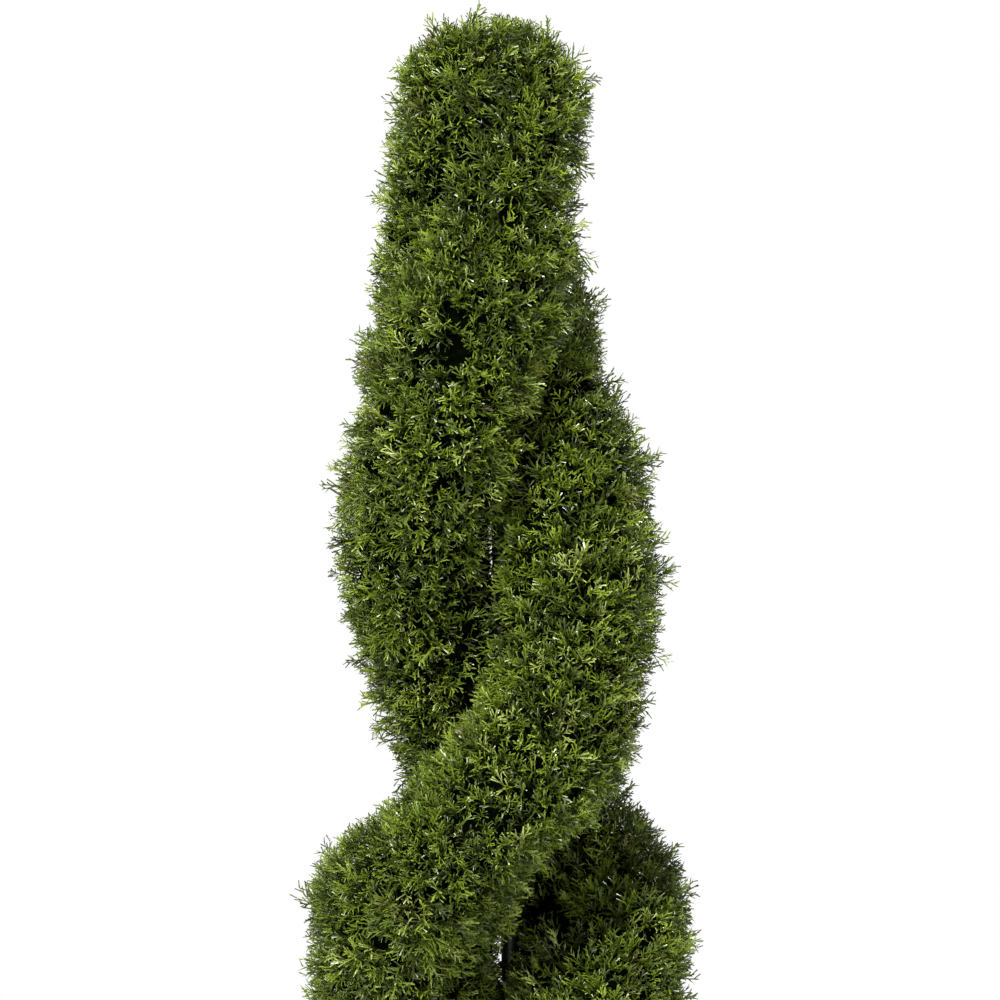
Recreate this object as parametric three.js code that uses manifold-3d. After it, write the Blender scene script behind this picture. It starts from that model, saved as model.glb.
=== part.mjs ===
// Artificial double spiral topiary: two clipped strands of foliage wound round a slightly leaning pole,
// on two short wire arms, in a plain round pot with a cast filling.
// Millimetres, +Z up, +X to the right. The origin is the centre of the pot's flat underside.

import * as THREE from 'three';
import { mergeVertices } from 'three/addons/utils/BufferGeometryUtils.js';
import Module from 'manifold-3d';

const wasm = await Module();
wasm.setup();

// Driving dimensions.
const clearance = 0.4;
const degrees = Math.PI / 180;

const pot = {
  height: 180,
  footRadius: 80,
  mouthRadius: 103,
  wall: 3,
  floor: 5,
  rimHeight: 16,
  rimOut: 5,
  edge: 2.5,
  sides: 40,
};
const filling = { top: 148, dish: 5, edge: 8 };
const pole = { radius: 10, tipRadius: 8.5, foot: 6, top: 1446, lean: 1.4 * degrees, sides: 16 };
const foliage = { foot: 212, top: 1500, sides: 16, rings: 8 };
const arm = { startHeight: 176, startRadius: 5, endRadius: 3.6, endGap: 2, rings: 7, sides: 8 };

// The twist of the strands, from the foot of the foliage to its top. turn is where the second strand
// stands round the pole, in degrees (0 is -X, 90 is -Y), and the first strand stands opposite. reach is
// a strand's distance from the twist axis, first and second are the strands' own radii, and sway is how
// far the twist axis stands from the pole along X.
const twist = [
  { z: 212, turn: -309, reach: 60, first: 86, second: 84, sway: 0 },
  { z: 265, turn: -289, reach: 92, first: 95, second: 91, sway: 0 },
  { z: 558, turn: -179, reach: 96, first: 102, second: 91, sway: -6 },
  { z: 655, turn: -132, reach: 106, first: 91, second: 88, sway: -6 },
  { z: 750, turn: -81, reach: 90, first: 86, second: 82, sway: 6 },
  { z: 835, turn: -45, reach: 82, first: 81, second: 85, sway: 6 },
  { z: 918, turn: -16, reach: 82, first: 85, second: 79, sway: -3 },
  { z: 1065, turn: 29, reach: 65, first: 90, second: 96, sway: -3 },
  { z: 1145, turn: 51, reach: 52, first: 92, second: 95, sway: -9 },
  { z: 1225, turn: 86, reach: 44, first: 103, second: 98, sway: -16 },
  { z: 1295, turn: 130, reach: 26, first: 83, second: 78, sway: -14 },
  { z: 1365, turn: 159, reach: 33, first: 72, second: 74, sway: -6 },
  { z: 1440, turn: 205, reach: 27, first: 72, second: 74, sway: 2 },
  { z: 1500, turn: 225, reach: 27, first: 72, second: 74, sway: 2 },
];

// Heights where one clump of foliage ends and the next begins, with how deep the crease between them is.
const seamDepth = 0.05;
const seamWidth = 13;
const strands = [
  { name: 'first', side: -1, seed: 1.7, seams: [212, 345, 480, 610, 735, 860, 985, 1110, 1240, 1370, 1500] },
  { name: 'second', side: 1, seed: 4.1, seams: [212, 350, 490, 620, 750, 880, 1000, 1105, 1212, 1350, 1500] },
];

// Both strands keep this far off the twist axis. The first strand opens a slit beside the pole lower down.
const innerFace = 4;
const slit = { z: 556, halfHeight: 48, width: 12 };

// The second strand tucks under the lower edge of the top column along a crease that climbs to the right,
// and a small dark pocket opens at the crease's low end.
const tuck = { z: 1212, halfHeight: 150, rise: 1.1, halfWidth: 60, depth: 0.13 };
const pocket = { x: -64, y: -122, z: 1178, halfWidth: 11, halfDepth: 48, halfHeight: 27 };

// The foliage's round top and the round lower tails of the two strands.
const topDome = { start: 1425, power: 2.2 };
const tailDome = { end: 292, power: 2.2 };

const looks = {
  foliage: { color: 0x40591c, roughness: 0.55, metalness: 0 },
  pole: { color: 0x15180f, roughness: 0.45, metalness: 0 },
  pot: { color: 0x161616, roughness: 0.5, metalness: 0 },
  filling: { color: 0x3a342d, roughness: 0.95, metalness: 0 },
};

// Smooth curve through one column of the twist table that never overshoots its own points: a cubic
// between neighbours whose slopes are the harmonic mean of the steps on either side.
function column(key) {
  const slopes = twist.map((row, i) => {
    if (i === 0 || i === twist.length - 1) return 0;
    const before = step(key, i - 1);
    const after = step(key, i);
    return before * after <= 0 ? 0 : (2 * before * after) / (before + after);
  });
  slopes[0] = step(key, 0);
  slopes[twist.length - 1] = step(key, twist.length - 2);
  return (z) => {
    const last = twist.length - 2;
    const found = twist.findIndex((row) => row.z > z) - 1;
    const i = found < -1 ? last : Math.min(Math.max(found, 0), last);
    const width = twist[i + 1].z - twist[i].z;
    const s = Math.min(Math.max((z - twist[i].z) / width, 0), 1);
    const rise = twist[i + 1][key] - twist[i][key];
    const bend = (1 - s) * (width * slopes[i] - rise) - s * (width * slopes[i + 1] - rise);
    return twist[i][key] + s * rise + s * (1 - s) * bend;
  };
}

function step(key, i) {
  return (twist[i + 1][key] - twist[i][key]) / (twist[i + 1].z - twist[i].z);
}

const turnAt = column('turn');
const reachAt = column('reach');
const swayAt = column('sway');
const radiusAt = { first: column('first'), second: column('second') };

function poleX(z) {
  return -Math.tan(pole.lean) * (z - pot.height);
}

// 1 in the middle of a span, 0 at its two ends and beyond, with a cosine-squared shape.
function swell(offset, halfSpan) {
  return Math.abs(offset) >= halfSpan ? 0 : Math.cos((offset / halfSpan) * 0.5 * Math.PI) ** 2;
}

// A rounded end: 1 where t is 0 or less, falling to 0 at t = 1 along a superellipse.
function rounded(t, power) {
  return t <= 0 ? 1 : (1 - Math.min(t, 0.998) ** power) ** (1 / power);
}

// How steeply a strand winds at height z: sideways travel for each millimetre of rise.
function windAt(z) {
  return (reachAt(z) * (turnAt(z + 2) - turnAt(z - 2)) * degrees) / 4;
}

// Low lumps round and along a strand.
function lumps(angle, z, seed) {
  const broad = 0.024 * Math.sin(2 * angle - z / 33 + 2 * seed);
  const middle = 0.02 * Math.sin(3 * angle + z / 41 + seed);
  const small = 0.013 * Math.sin(5 * angle + z / 17 - seed);
  return 1 + broad + middle + small;
}

// The crease at the nearest seam of a strand, as a factor on its radius.
function crease(strand, ringZ) {
  let factor = 1;
  for (const seam of strand.seams.slice(1, -1)) {
    const depth = strand.name === 'second' && seam === tuck.z ? tuck.depth : seamDepth;
    factor -= depth * Math.exp(-(((ringZ - seam) / seamWidth) ** 2));
  }
  return factor;
}

// A point on a strand's surface. A ring lies square to the strand's own run, so it is tilted: its height
// changes with the distance along the tangent. The strand's level section is an ellipse, longer the
// steeper the strand winds, and it is cut off flat before it reaches the twist axis.
function strandPoint(strand, angle, ringZ) {
  const widest = radiusAt[strand.name](ringZ) * Math.hypot(1, windAt(ringZ)) * Math.sin(angle);
  const levelOut = Math.min(1, (foliage.top - ringZ) / 90, (ringZ - foliage.foot) / 70);
  const climb = strand.name === 'second' ? tuck.rise * swell(ringZ - tuck.z, tuck.halfHeight) : 0;
  const tilt = -windAt(ringZ) * widest * levelOut;
  const z = ringZ + tilt + climb * tuck.halfWidth * Math.tanh(widest / tuck.halfWidth);

  const top = rounded((z - topDome.start) / (foliage.top - topDome.start), topDome.power);
  const tail = rounded((tailDome.end - z) / (tailDome.end - foliage.foot), tailDome.power);
  const radius = radiusAt[strand.name](z) * lumps(angle, z, strand.seed) * crease(strand, ringZ) * tail;
  const slitHere = strand.name === 'first' ? slit.width * swell(z - slit.z, slit.halfHeight) : 0;
  const out = Math.max(innerFace + slitHere, top * (reachAt(z) + radius * Math.cos(angle)));
  const along = top * radius * Math.hypot(1, windAt(z)) * Math.sin(angle);

  const turn = turnAt(z) * degrees;
  const outX = -Math.cos(turn) * strand.side;
  const outY = -Math.sin(turn) * strand.side;
  const x = poleX(z) + swayAt(z) + outX * out - outY * along;
  const y = outY * out + outX * along;
  return new THREE.Vector3(x, y, z);
}

// A closed mesh through rings of points, each ring counter-clockwise seen from the far end, with a fan
// of triangles over each end.
function loft(rings, startCentre, endCentre) {
  const sides = rings[0].length;
  const points = [startCentre, ...rings.flat(), endCentre];
  const at = (ring, side) => 1 + ring * sides + (side % sides);
  const faces = [];
  for (let side = 0; side < sides; side += 1) {
    faces.push(0, at(0, side + 1), at(0, side));
    for (let ring = 0; ring < rings.length - 1; ring += 1) {
      faces.push(at(ring, side), at(ring, side + 1), at(ring + 1, side + 1));
      faces.push(at(ring, side), at(ring + 1, side + 1), at(ring + 1, side));
    }
    faces.push(points.length - 1, at(rings.length - 1, side), at(rings.length - 1, side + 1));
  }
  const geometry = new THREE.BufferGeometry();
  geometry.setAttribute('position', new THREE.Float32BufferAttribute(points.flatMap((p) => p.toArray()), 3));
  geometry.setIndex(faces);
  return geometry;
}

function middleOf(ring) {
  const sum = ring.reduce((total, point) => total.add(point), new THREE.Vector3());
  return sum.divideScalar(ring.length);
}

// A geometry as a solid, with shared corners merged and flat slivers at a lathe's poles left out.
function toSolid(geometry) {
  const bare = geometry.clone();
  bare.deleteAttribute('normal');
  bare.deleteAttribute('uv');
  const merged = mergeVertices(bare, 1e-3);
  const index = Array.from(merged.index.array);
  const kept = [];
  for (let i = 0; i < index.length; i += 3) {
    const [a, b, c] = index.slice(i, i + 3);
    if (a !== b && b !== c && a !== c) kept.push(a, b, c);
  }
  const vertProperties = new Float32Array(merged.attributes.position.array);
  const mesh = new wasm.Mesh({ numProp: 3, vertProperties, triVerts: new Uint32Array(kept) });
  return new wasm.Manifold(mesh);
}

function toGeometry(solid) {
  const mesh = solid.getMesh();
  const geometry = new THREE.BufferGeometry();
  geometry.setAttribute('position', new THREE.BufferAttribute(mesh.vertProperties, 3));
  geometry.setIndex(new THREE.BufferAttribute(mesh.triVerts, 1));
  geometry.computeVertexNormals();
  return geometry;
}

// A round solid from a profile of [radius, height] pairs that starts and ends on the axis.
function turned(profile, sides) {
  const points = profile.map(([radius, height]) => new THREE.Vector2(radius, height));
  return new THREE.LatheGeometry(points, sides).rotateX(Math.PI / 2);
}

function named(name, geometry, look) {
  const mesh = new THREE.Mesh(geometry, new THREE.MeshStandardMaterial(look));
  mesh.name = name;
  return mesh;
}

// The pole, or with extra > 0 the round hole that clears it. It leans to -X, so it is turned about Y.
function poleSolid(extra) {
  const length = pole.top - pole.foot + 2 * extra;
  const shaft = new THREE.CylinderGeometry(pole.tipRadius + extra, pole.radius + extra, length, pole.sides);
  shaft.rotateX(Math.PI / 2);
  shaft.rotateY(-pole.lean);
  const middle = 0.5 * (pole.foot + pole.top);
  shaft.translate(poleX(middle), 0, middle);
  return toSolid(shaft);
}

function pocketSolid() {
  const ball = new THREE.SphereGeometry(1, 12, 8);
  ball.scale(pocket.halfWidth, pocket.halfDepth, pocket.halfHeight);
  ball.translate(pocket.x, pocket.y, pocket.z);
  return toSolid(ball);
}

// One clump of a strand, between two of its seams.
function clump(strand, from, to) {
  const rings = [];
  const low = from === foliage.foot ? from + 1 : from + clearance;
  const high = to === foliage.top ? to - 1 : to - clearance;
  for (let i = 0; i <= foliage.rings; i += 1) {
    const share = 0.5 - 0.5 * Math.cos((i / foliage.rings) * Math.PI);
    const ringZ = low + (high - low) * share;
    const ring = [];
    for (let side = 0; side < foliage.sides; side += 1) {
      ring.push(strandPoint(strand, (side / foliage.sides) * 2 * Math.PI, ringZ));
    }
    rings.push(ring);
  }
  const start = middleOf(rings[0]);
  const end = middleOf(rings[rings.length - 1]);
  if (from === foliage.foot) start.z = foliage.foot;
  if (to === foliage.top) end.z = foliage.top;
  return toSolid(loft(rings, start, end));
}

function foliageClumps() {
  const poleHole = poleSolid(clearance + 0.2);
  const pocketHole = pocketSolid();
  const meshes = [];
  for (const strand of strands) {
    for (let i = 0; i < strand.seams.length - 1; i += 1) {
      let solid = clump(strand, strand.seams[i], strand.seams[i + 1]).subtract(poleHole);
      if (strand.name === 'second') solid = solid.subtract(pocketHole);
      const number = String(i + 1).padStart(2, '0');
      meshes.push(named(`${strand.name}_strand_clump_${number}`, toGeometry(solid), looks.foliage));
    }
  }
  return meshes;
}

// A wire arm that leaves the pole below the foliage and curves out and up into a strand's tail. It tapers.
function wireArm(strand) {
  const turn = turnAt(foliage.foot) * degrees;
  const outX = -Math.cos(turn) * strand.side;
  const outY = -Math.sin(turn) * strand.side;
  const tail = reachAt(foliage.foot);
  const start = new THREE.Vector3(poleX(arm.startHeight), 0, arm.startHeight);
  const bend = new THREE.Vector3(outX * tail * 0.75, outY * tail * 0.75, arm.startHeight + 6);
  const end = new THREE.Vector3(outX * tail, outY * tail, foliage.foot - arm.endGap);
  const path = new THREE.QuadraticBezierCurve3(start, bend, end);
  const sideways = new THREE.Vector3(-outY, outX, 0);
  const rings = [];
  for (let i = 0; i <= arm.rings; i += 1) {
    const share = i / arm.rings;
    const centre = path.getPoint(share);
    const up = new THREE.Vector3().crossVectors(path.getTangent(share), sideways);
    const radius = arm.startRadius + (arm.endRadius - arm.startRadius) * share;
    const ring = [];
    for (let side = 0; side < arm.sides; side += 1) {
      const angle = (side / arm.sides) * 2 * Math.PI;
      const point = centre.clone().addScaledVector(sideways, radius * Math.cos(angle));
      ring.push(point.addScaledVector(up, radius * Math.sin(angle)));
    }
    rings.push(ring);
  }
  const solid = toSolid(loft(rings, start, end)).subtract(poleSolid(clearance));
  return named(`${strand.name}_strand_arm`, toGeometry(solid), looks.pole);
}

// The pot: a tapered round shell with a thick outward rim, flat under its floor.
function potMesh() {
  const rimUnder = pot.height - pot.rimHeight;
  const outer = (height) => pot.footRadius + ((pot.mouthRadius - pot.footRadius) * height) / pot.height;
  const rimRadius = pot.mouthRadius + pot.rimOut;
  const profile = [
    [0, 0],
    [pot.footRadius - pot.edge, 0],
    [outer(pot.edge), pot.edge],
    [outer(rimUnder), rimUnder],
    [rimRadius - pot.edge, rimUnder],
    [rimRadius, rimUnder + pot.edge],
    [rimRadius, pot.height - pot.edge],
    [rimRadius - pot.edge, pot.height],
    [outer(pot.height) - pot.wall + pot.edge, pot.height],
    [outer(pot.height) - pot.wall, pot.height - pot.edge],
    [outer(pot.floor) - pot.wall, pot.floor],
    [0, pot.floor],
  ];
  return named('pot', toGeometry(toSolid(turned(profile, pot.sides))), looks.pot);
}

// The cast filling: it follows the pot's inside, dishes slightly to the middle and is cut round the pole.
function fillingMesh() {
  const inner = (height) => {
    const wallFace = pot.footRadius + ((pot.mouthRadius - pot.footRadius) * height) / pot.height;
    return wallFace - pot.wall - 2 * clearance;
  };
  const bottom = pot.floor + clearance;
  const profile = [
    [0, bottom],
    [inner(bottom), bottom],
    [inner(filling.top - filling.edge), filling.top - filling.edge],
    [inner(filling.top) - filling.edge, filling.top],
    [inner(filling.top) * 0.5, filling.top - filling.dish * 0.6],
    [0, filling.top - filling.dish],
  ];
  const solid = toSolid(turned(profile, pot.sides)).subtract(poleSolid(clearance));
  return named('filling', toGeometry(solid), looks.filling);
}

const topiary = new THREE.Group();
topiary.add(potMesh());
topiary.add(fillingMesh());
topiary.add(named('pole', toGeometry(poleSolid(0)), looks.pole));
topiary.add(...strands.map(wireArm));
topiary.add(...foliageClumps());

export default topiary;
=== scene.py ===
import math
import bpy
import numpy as np
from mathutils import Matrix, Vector
from mathutils.bvhtree import BVHTree


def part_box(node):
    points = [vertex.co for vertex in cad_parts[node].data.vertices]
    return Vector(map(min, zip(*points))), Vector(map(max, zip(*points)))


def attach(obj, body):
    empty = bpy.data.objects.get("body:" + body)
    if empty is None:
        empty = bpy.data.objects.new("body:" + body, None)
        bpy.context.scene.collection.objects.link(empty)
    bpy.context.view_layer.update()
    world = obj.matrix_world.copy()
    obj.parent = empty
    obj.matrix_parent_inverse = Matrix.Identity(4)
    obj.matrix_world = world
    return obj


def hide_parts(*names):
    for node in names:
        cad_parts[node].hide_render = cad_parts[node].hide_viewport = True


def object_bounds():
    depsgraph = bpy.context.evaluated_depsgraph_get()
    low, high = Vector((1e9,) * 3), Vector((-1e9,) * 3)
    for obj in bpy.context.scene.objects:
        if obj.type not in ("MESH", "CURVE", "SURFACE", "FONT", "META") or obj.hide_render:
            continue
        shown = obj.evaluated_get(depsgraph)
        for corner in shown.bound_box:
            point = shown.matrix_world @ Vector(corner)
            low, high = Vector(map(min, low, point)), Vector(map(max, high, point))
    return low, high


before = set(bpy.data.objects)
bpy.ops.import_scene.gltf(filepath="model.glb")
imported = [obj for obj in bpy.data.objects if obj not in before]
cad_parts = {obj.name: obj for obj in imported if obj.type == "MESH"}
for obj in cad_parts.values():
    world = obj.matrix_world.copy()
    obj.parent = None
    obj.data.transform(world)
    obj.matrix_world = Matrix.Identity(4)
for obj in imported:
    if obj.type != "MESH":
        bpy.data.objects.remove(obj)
cadLow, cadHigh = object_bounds()
scene = bpy.context.scene
mm = 0.001
fullTurn = 2 * math.pi
upward = np.array([0.0, 0.0, 1.0])

strandNames = ("first", "second")
clumpNodes = {s: sorted(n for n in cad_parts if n.startswith(s + "_strand_clump")) for s in strandNames}
print("frame loaded:", len(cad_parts), "nodes")


# small helpers

# v / |v| along the last axis
def unit(v):
    return v / np.maximum(np.linalg.norm(v, axis=-1, keepdims=True), 1e-9)


# 0 below low, 1 above high, 3t^2 - 2t^3 between
def smoothStep(low, high, value):
    t = np.clip((value - low) / (high - low), 0, 1)
    return t * t * (3 - 2 * t)


# two directions square to each row of d: side = d x z (or d x x near the pole), up = d x side, so that
# side x up = d
def frameAcross(d):
    helper = np.where(np.abs(d[..., 2:3]) > 0.95, np.array([1.0, 0, 0]), upward)
    side = unit(np.cross(d, helper))
    return side, np.cross(d, side)


# a mesh object from point and face arrays, where all faces have the same number of corners
def makePiece(name, points, faces, material, smooth=True):
    mesh = bpy.data.meshes.new(name)
    points = np.ascontiguousarray(points, np.float32).reshape(-1, 3)
    faces = np.ascontiguousarray(faces, np.int32)
    corners = faces.shape[1]
    mesh.vertices.add(len(points))
    mesh.vertices.foreach_set("co", points.ravel())
    mesh.loops.add(faces.size)
    mesh.loops.foreach_set("vertex_index", faces.ravel())
    mesh.polygons.add(len(faces))
    mesh.polygons.foreach_set("loop_start", np.arange(len(faces), dtype=np.int32) * corners)
    mesh.polygons.foreach_set("loop_total", np.full(len(faces), corners, np.int32))
    mesh.polygons.foreach_set("use_smooth", np.full(len(faces), smooth))
    mesh.update(calc_edges=True)
    mesh.validate()
    piece = bpy.data.objects.new(name, mesh)
    scene.collection.objects.link(piece)
    mesh.materials.append(material)
    return piece


# points and triangles of a grid (rows, columns, 3) that closes round its columns: each cell is cut along
# (row, column) to (row + 1, column + 1), and the first and last rows are closed by a middle point each
def closedGrid(grid):
    rows, columns = grid.shape[:2]
    r, c = np.meshgrid(np.arange(rows - 1), np.arange(columns), indexing="ij")
    n = (c + 1) % columns
    a, b, d, e = r * columns + c, r * columns + n, (r + 1) * columns + n, (r + 1) * columns + c
    sides = np.concatenate([np.stack([a, b, d], -1), np.stack([a, d, e], -1)]).reshape(-1, 3)
    first, last = rows * columns, rows * columns + 1
    k = np.arange(columns)
    m = (k + 1) % columns
    top = (rows - 1) * columns
    startFan = np.stack([np.full(columns, first), m, k], -1)
    endFan = np.stack([np.full(columns, last), top + k, top + m], -1)
    points = np.concatenate([grid.reshape(-1, 3), grid[:1].mean(1), grid[-1:].mean(1)])
    return points, np.concatenate([sides, startFan, endFan])


# several (points, faces) pairs as one: each pair's faces are shifted by the points before it
def joinMeshes(parts):
    shifts = np.cumsum([0] + [len(points) for points, _ in parts])[:-1]
    faces = [own + shift for (_, own), shift in zip(parts, shifts)]
    return np.concatenate([points for points, _ in parts]), np.concatenate(faces)


# one mesh copied for each row of points: copy k's faces are shifted by k * (points in one copy)
def repeatFaces(faces, copies, pointsEach):
    return (faces[None] + np.arange(copies)[:, None, None] * pointsEach).reshape(-1, 3)


# a smooth path through a few points: each span is a cubic whose end slopes are (next - previous) / 2
def smoothPath(knots, count):
    knots = np.asarray(knots, float)
    slopes = np.gradient(knots, axis=0)
    at = np.linspace(0, len(knots) - 1, count)
    i = np.minimum(at.astype(int), len(knots) - 2)
    t = (at - i)[:, None]
    h0, h1 = 2 * t**3 - 3 * t**2 + 1, t**3 - 2 * t**2 + t
    return h0 * knots[i] + h1 * slopes[i] + (1 - h0) * knots[i + 1] + (t**3 - t**2) * slopes[i + 1]


# repeatable smooth noise from summed sines: sum of sin(k . p + phase) over random k of one wavelength
def waveNoise(points, wavelength, seed, waves=14):
    rng = np.random.default_rng(seed)
    k = unit(rng.normal(size=(waves, 3))) * fullTurn / wavelength
    return np.sin(points @ k.T + rng.uniform(0, fullTurn, waves)).sum(-1) / math.sqrt(waves / 2)


# materials

# a Principled material whose plain values sit on its own sockets
def plainMaterial(name, color, roughness, **values):
    material = bpy.data.materials.new(name)
    material.use_nodes = True
    shader = material.node_tree.nodes["Principled BSDF"]
    shader.inputs["Base Color"].default_value = (*color, 1)
    shader.inputs["Roughness"].default_value = roughness
    for key, value in values.items():
        shader.inputs[key].default_value = value
    return material


# a new node with some of its settings changed
def addNode(tree, kind, **settings):
    node = tree.nodes.new(kind)
    for key, value in settings.items():
        setattr(node, key, value)
    return node


# grain group: two noises of different size, weighted, give one grey value between 0 and 1
def buildGrainGroup():
    group = bpy.data.node_groups.new("surfaceGrain", "ShaderNodeTree")
    for label in ("Scale", "Broad Scale", "Broad Share"):
        group.interface.new_socket(label, in_out="INPUT", socket_type="NodeSocketFloat")
    group.interface.new_socket("Grain", in_out="OUTPUT", socket_type="NodeSocketFloat")
    source, sink = addNode(group, "NodeGroupInput"), addNode(group, "NodeGroupOutput")
    place = addNode(group, "ShaderNodeTexCoord")
    fine = addNode(group, "ShaderNodeTexNoise")
    broad = addNode(group, "ShaderNodeTexNoise")
    blend = addNode(group, "ShaderNodeMix", data_type="FLOAT")
    fine.inputs["Detail"].default_value = 6
    broad.inputs["Detail"].default_value = 3
    group.links.new(place.outputs["Object"], fine.inputs["Vector"])
    group.links.new(place.outputs["Object"], broad.inputs["Vector"])
    group.links.new(source.outputs["Scale"], fine.inputs["Scale"])
    group.links.new(source.outputs["Broad Scale"], broad.inputs["Scale"])
    group.links.new(source.outputs["Broad Share"], blend.inputs["Factor"])
    group.links.new(fine.outputs["Fac"], blend.inputs["A"])
    group.links.new(broad.outputs["Fac"], blend.inputs["B"])
    group.links.new(blend.outputs["Result"], sink.inputs["Grain"])
    return group


grainGroup = buildGrainGroup()
grainReach = {"color": (0.35, 0.68), "rough": (0.3, 0.7)}  # the grain values at the ends of each run


# a material whose colour, roughness and relief follow the grain group: colour runs from dark to light
def grainMaterial(name, dark, light, rough, scale, broadScale, broadShare, relief, depth):
    material = plainMaterial(name, dark, rough[0])
    tree = material.node_tree
    shader = tree.nodes["Principled BSDF"]
    grain = addNode(tree, "ShaderNodeGroup", node_tree=grainGroup)
    grain.inputs["Scale"].default_value = scale
    grain.inputs["Broad Scale"].default_value = broadScale
    grain.inputs["Broad Share"].default_value = broadShare
    ramp = addNode(tree, "ShaderNodeValToRGB")
    for element, position, color in zip(ramp.color_ramp.elements, grainReach["color"], (dark, light)):
        element.position = position
        element.color = (*color, 1)
    span = addNode(tree, "ShaderNodeMapRange")
    span.inputs["From Min"].default_value, span.inputs["From Max"].default_value = grainReach["rough"]
    span.inputs["To Min"].default_value, span.inputs["To Max"].default_value = rough
    bump = addNode(tree, "ShaderNodeBump")
    bump.inputs["Strength"].default_value = relief
    bump.inputs["Distance"].default_value = depth
    tree.links.new(grain.outputs["Grain"], ramp.inputs["Fac"])
    tree.links.new(grain.outputs["Grain"], span.inputs["Value"])
    tree.links.new(grain.outputs["Grain"], bump.inputs["Height"])
    tree.links.new(ramp.outputs["Color"], shader.inputs["Base Color"])
    tree.links.new(span.outputs["Result"], shader.inputs["Roughness"])
    tree.links.new(bump.outputs["Normal"], shader.inputs["Normal"])
    return material


# what the frame gives

# the points and triangles of a CAD node, as arrays
def nodeMesh(name):
    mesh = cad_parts[name].data
    points = np.zeros(len(mesh.vertices) * 3, np.float32)
    mesh.vertices.foreach_get("co", points)
    mesh.calc_loop_triangles()
    faces = np.zeros(len(mesh.loop_triangles) * 3, np.int32)
    mesh.loop_triangles.foreach_get("vertices", faces)
    return points.reshape(-1, 3).astype(float), faces.reshape(-1, 3)


# volume centre of a closed mesh: the sum of each triangle's cone centre, weighted by its volume
def volumeCentre(points, faces):
    a, b, c = points[faces[:, 0]], points[faces[:, 1]], points[faces[:, 2]]
    volume = np.einsum("ij,ij->i", a, np.cross(b, c))
    return ((a + b + c) * volume[:, None]).sum(0) / (4 * volume.sum())


# middle and radius of one end ring of the pole: the points within 2 mm of its lowest or highest point
def poleEnd(points, z):
    ring = points[np.abs(points[:, 2] - z) < 2 * mm]
    middle = ring.mean(0)
    return middle, np.linalg.norm(ring - middle, axis=1).max()


polePoints = nodeMesh("pole")[0]
poleLow, poleFootRadius = poleEnd(polePoints, polePoints[:, 2].min())
poleHigh, poleTipRadius = poleEnd(polePoints, polePoints[:, 2].max())


# point on the pole's axis at height z: straight line from its foot to its tip
def poleAxis(z):
    share = (np.asarray(z, float)[..., None] - poleLow[2]) / (poleHigh[2] - poleLow[2])
    return poleLow + share * (poleHigh - poleLow)


# an arm's middle line: its points sorted by distance from the pole, averaged in a few groups
def armLine(strand, groups=6):
    points = nodeMesh(strand + "_strand_arm")[0]
    away = np.linalg.norm((points - poleAxis(points[:, 2]))[:, :2], axis=1)
    order = np.argsort(away, kind="stable")
    return np.array([points[part].mean(0) for part in np.array_split(order, groups)])


foliageMeshes = {n: nodeMesh(n) for s in strandNames for n in clumpNodes[s]}

core = {
    "samples": 420,
    "footRise": 12 * mm,  # how far over the arm's end the path starts
    "tipShare": 0.30,  # how far it runs past the last centre, as a share of the last step
}

# a strand's middle line: from its arm's end, through its clumps' centres, to a little short of its top
corePath, armPath = {}, {}
for strand in strandNames:
    centres = [volumeCentre(*foliageMeshes[n]) for n in clumpNodes[strand]]
    armPath[strand] = armLine(strand)
    foot = armPath[strand][-1] + core["footRise"] * upward
    tip = centres[-1] + core["tipShare"] * (centres[-1] - centres[-2])
    corePath[strand] = smoothPath([foot, *centres, tip], core["samples"])
coreTangent = {s: unit(np.gradient(corePath[s], axis=0)) for s in strandNames}


# one search tree over several nodes' triangles
def searchTree(names):
    points, faces = joinMeshes([foliageMeshes.get(n) or nodeMesh(n) for n in names])
    return BVHTree.FromPolygons(points.tolist(), faces.tolist())


strandTree = {s: searchTree(clumpNodes[s]) for s in strandNames}
allTree = searchTree([*clumpNodes["first"], *clumpNodes["second"], "pole"])
print("middle lines and search trees ready")


# where the sprays stand

tuft = {
    "spacing": 34 * mm,  # least distance between two tufts
    "tries": 90000,  # candidate points over both strands
    "room": 0.5 * mm,  # free way in front of the surface that a spray needs
    "tuftRoom": 10 * mm,  # and that a tuft needs
    "farthest": 120 * mm,  # where the measure of free way ends
    "outward": 0.1,  # least share of a normal that points away from the middle line
    "lift": 0.55,  # how far tufts turn up from square
    "unrest": 0.36,  # random turn of each tuft
    "seed": 11,
}


# the dark pocket at the low end of the crease under the top column, kept free of sprays so the backing's
# painted shade shows
pocket = {"centre": np.array([-0.064, -0.122, 1.173]), "half": np.array([0.015, 0.075, 0.038])}


# index of the nearest path sample for each point
def nearestOnPath(points, path):
    best = np.zeros(len(points), int)
    for start in range(0, len(points), 2000):
        part = points[start : start + 2000]
        best[start : start + 2000] = ((part[:, None] - path[None]) ** 2).sum(-1).argmin(1)
    return best


# random points on a strand's outside: a triangle by area, then a + sqrt(u)(1 - v)(b - a) + sqrt(u)v(c - a)
def surfacePoints(strand, count, rng):
    corners = np.concatenate([foliageMeshes[n][0][foliageMeshes[n][1]] for n in clumpNodes[strand]])
    a, b, c = corners[:, 0], corners[:, 1], corners[:, 2]
    cross = np.cross(b - a, c - a)
    area = np.linalg.norm(cross, axis=1)
    pick = rng.choice(len(area), count, p=area / area.sum())
    u, v = np.sqrt(rng.random((count, 1))), rng.random((count, 1))
    points = a[pick] + u * (1 - v) * (b[pick] - a[pick]) + u * v * (c[pick] - a[pick])
    return points, unit(cross[pick])


# free way from a point along a direction, up to a limit
def freeWay(tree, points, directions, limit):
    found = np.full(len(points), limit)
    for i, (p, d) in enumerate(zip(points.tolist(), directions.tolist())):
        hit = tree.ray_cast(Vector(p), Vector(d), limit)
        if hit[0] is not None:
            found[i] = hit[3]
    return found


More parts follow.
